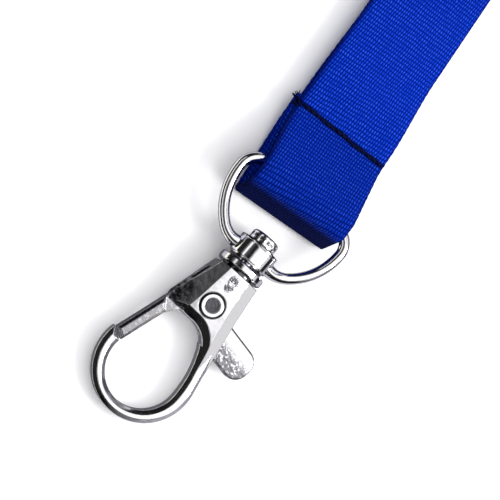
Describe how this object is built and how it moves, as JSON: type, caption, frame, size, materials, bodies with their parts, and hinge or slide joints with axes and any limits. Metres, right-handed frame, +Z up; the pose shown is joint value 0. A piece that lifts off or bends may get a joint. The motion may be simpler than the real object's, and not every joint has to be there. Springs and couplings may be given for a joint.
{
  "type": "lanyard badge holder",
  "caption": "Woven lanyard strap sewn round the D-ring of a swivelling lobster-claw snap hook with a sprung gate and thumb tab.",
  "frame": {"origin": "centre of the whole object's footprint, on the surface it lies on", "axes": "+Z up from the surface, +Y along the swivel axis seen from above, from the claw towards the strap, +X across, towards the thumb tab"},
  "size_m": [0.0342, 0.1811, 0.0127],
  "materials": {
    "cast_chrome": "polished",
    "ring_chrome": "polished",
    "stud_chrome": "polished",
    "spring_steel": "satin",
    "strap_weave": "matte",
    "seam_thread": "matte",
    "band_elastic": "matte"
  },
  "bodies": {
    "strap": {"strap_ring_loop": "strap_weave", "strap_front_leg": "strap_weave", "strap_rear_leg": "strap_weave", "strap_hank": "strap_weave", "seam_needle_thread": "seam_thread", "seam_bobbin_thread": "seam_thread", "storage_band": "band_elastic"},
    "ring": {"swivel_ring": "ring_chrome"},
    "hook": {"hook_body": "cast_chrome", "pivot_rivet": "stud_chrome", "gate_spring": "spring_steel", "swivel_stud": "stud_chrome"},
    "gate": {"gate_lever": "cast_chrome"}
  },
  "joints": [
    {"name": "ring_tilt", "type": "hinge", "parent": "strap", "child": "ring", "pos_m": [0.00434, -0.04229, 0.00586], "axis": [1, 0, 0], "range_deg": [-100, 100]},
    {"name": "hook_swivel", "type": "hinge", "parent": "ring", "child": "hook", "pos_m": [0.00434, -0.05534, 0.00475], "axis": [0, 0.9964, 0.0847], "continuous": true},
    {"name": "gate_hinge", "type": "hinge", "parent": "hook", "child": "gate", "pos_m": [0.00404, -0.0666, 0.0038], "axis": [0, -0.0847, 0.9964], "range_deg": [0, 30], "stiffness_Nm_per_rad": 0.006, "springref_deg": -34.38, "deforming": ["gate_spring"]}
  ]
}
